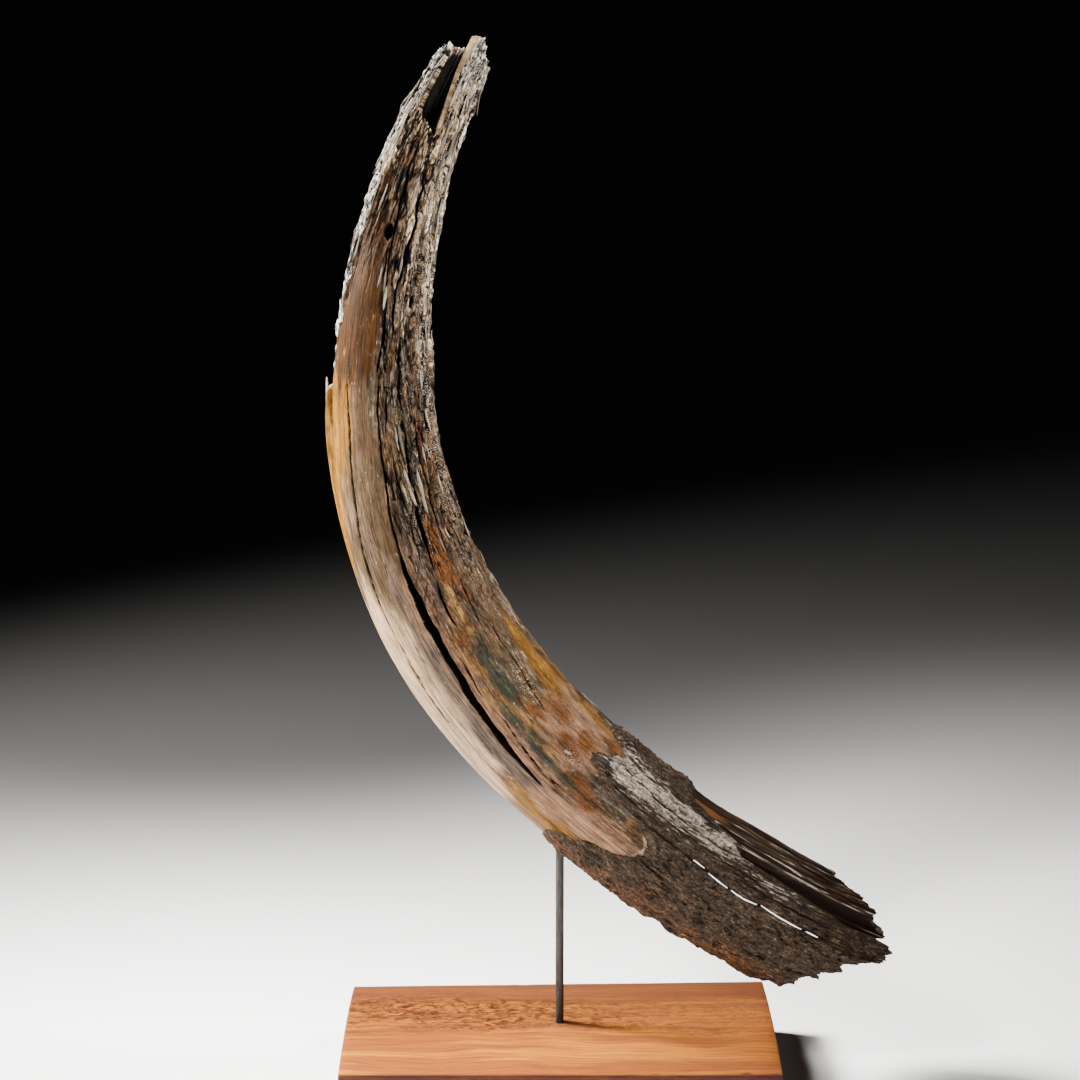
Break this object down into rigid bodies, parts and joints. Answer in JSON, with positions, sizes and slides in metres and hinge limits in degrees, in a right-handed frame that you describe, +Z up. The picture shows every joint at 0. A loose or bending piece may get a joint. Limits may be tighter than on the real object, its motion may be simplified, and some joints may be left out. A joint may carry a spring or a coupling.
{
  "type": "mammoth tusk on a stand",
  "caption": "Long curved fossil tusk section, hollow at its thin end and broken at its wide end, held up by a slim steel rod on a low wooden block.",
  "frame": {"origin": "centre line of the rod, on the underside of the wooden block", "axes": "+Z up along the rod, +X along the block towards the tusk's wide end, -Y towards the front, the side that shows the long crack"},
  "size_m": [0.6467, 0.2699, 1.2149],
  "materials": {
    "tusk": "weathered fossil ivory: tan and grey-brown, smooth and finely striated on the outer side, split and furrowed on the hollow side, dark bark-like crust at the wide end",
    "rod": "dark grey steel bar, satin",
    "base": "orange-brown hardwood, oiled, grain along the block"
  },
  "bodies": {
    "root": {"tusk": "tusk", "rod": "rod", "base": "base"}
  },
  "joints": []
}
